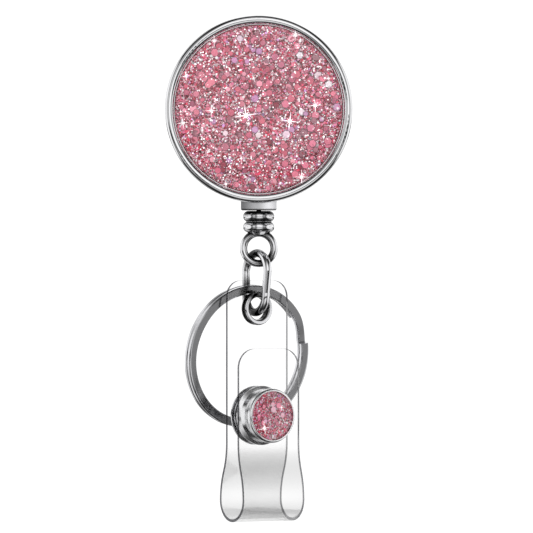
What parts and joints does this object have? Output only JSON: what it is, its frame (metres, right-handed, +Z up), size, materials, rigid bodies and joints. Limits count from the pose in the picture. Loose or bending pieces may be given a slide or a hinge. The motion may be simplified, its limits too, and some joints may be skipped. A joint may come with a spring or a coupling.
{
  "type": "retractable badge reel",
  "caption": "Round spring-loaded cord reel with a glitter face, swivelling rear clip, ribbed cord end, oval link, clear snap strap and split key ring.",
  "frame": {"origin": "bite of the clip's closed jaws, in the middle of their width", "axes": "+Z up, the way the reel hangs; -Y is the glitter face's outward normal; +X to the viewer's right seen from the front"},
  "size_m": [0.032, 0.0219, 0.0864],
  "materials": {
    "nickel_steel": "bright nickel plate",
    "spring_steel": "polished",
    "bright_steel": "tumbled bright",
    "chrome": "mirror",
    "chrome_case": "mirror",
    "chrome_plastic": "metallised gloss",
    "brass": "polished",
    "black_plastic": "fine satin",
    "white_plastic": "satin",
    "nylon": "satin",
    "cord": "woven",
    "pink_glitter": "glitter flakes in resin",
    "clear_resin": "clear gloss",
    "clear_vinyl": "clear gloss"
  },
  "bodies": {
    "clip": {"clip_base": "nickel_steel", "swivel_rivet": "nickel_steel", "swivel_washer": "nylon", "clip_hinge_pin": "nickel_steel", "clip_spring": "spring_steel"},
    "lever": {"clip_lever": "nickel_steel"},
    "case": {"front_case": "chrome_case", "glitter_disc": "pink_glitter", "clear_dome": "clear_resin", "rear_cover": "black_plastic", "case_screws": "spring_steel", "centre_post": "spring_steel", "thrust_washers": "nylon", "cord_guide": "chrome_plastic", "guide_eyelet": "brass", "cord_lead": "cord"},
    "spool": {"spool": "white_plastic", "power_spring": "spring_steel", "spring_cover": "white_plastic", "cord_winding": "cord"},
    "cord_tip": {"cord_knot": "cord"},
    "end_fitting": {"end_fitting": "chrome"},
    "link": {"oval_link": "chrome"},
    "strap": {"strap_back": "clear_vinyl", "strap_eyelet": "chrome", "eyelet_washer": "chrome", "snap_post": "chrome", "snap_stud": "chrome"},
    "flap": {"strap_flap": "clear_vinyl", "snap_socket": "chrome", "socket_spring": "spring_steel", "snap_cap": "chrome", "snap_glitter_disc": "pink_glitter", "snap_dome": "clear_resin"},
    "key_ring": {"split_ring": "bright_steel"}
  },
  "joints": [
    {"name": "case_swivel", "type": "hinge", "parent": "clip", "child": "case", "pos_m": [0, -0.00275, 0.013], "axis": [0, 1, 0], "continuous": true},
    {"name": "clip_lever", "type": "hinge", "parent": "clip", "child": "lever", "pos_m": [0, 0.0011, 0.017], "axis": [1, 0, 0], "range_deg": [0, 22], "stiffness_Nm_per_rad": 0.02, "springref_deg": -114.59, "deforming": ["clip_spring"]},
    {"name": "cord_pull", "type": "slide", "parent": "case", "child": "cord_tip", "axis": [0, 0, -1], "range_m": [0, 0.6], "stiffness_N_per_m": 0.83, "springref_m": -1.2, "deforming": ["cord_lead"]},
    {"name": "spool_spin", "type": "hinge", "parent": "case", "child": "spool", "pos_m": [0, -0.0076, 0.013], "axis": [0, 1, 0], "range_deg": [0, 3440], "deforming": ["power_spring"]},
    {"name": "end_swivel", "type": "hinge", "parent": "cord_tip", "child": "end_fitting", "pos_m": [0, -0.0076, -0.006], "axis": [0, 0, 1], "continuous": true},
    {"name": "link_swing", "type": "hinge", "parent": "end_fitting", "child": "link", "pos_m": [0, -0.0076, -0.01333], "axis": [1, 0, 0], "range_deg": [-35, 35]},
    {"name": "strap_swing", "type": "hinge", "parent": "link", "child": "strap", "pos_m": [-0.0006, -0.0076, -0.0217], "axis": [0.5592, -0.829, 0], "range_deg": [-60, 60]},
    {"name": "ring_swing", "type": "hinge", "parent": "link", "child": "key_ring", "pos_m": [-0.00149, -0.00627, -0.0217], "axis": [-0.5548, 0.8225, 0.1253], "range_deg": [-60, 60]},
    {"name": "flap_open", "type": "hinge", "parent": "strap", "child": "flap", "pos_m": [0.00057, -0.00934, -0.0574], "axis": [0.829, 0.5592, 0], "range_deg": [0, 110]}
  ],
  "couplings": [
    {"joint": "spool_spin", "follows": "cord_pull", "rad_per_m": 100}
  ]
}
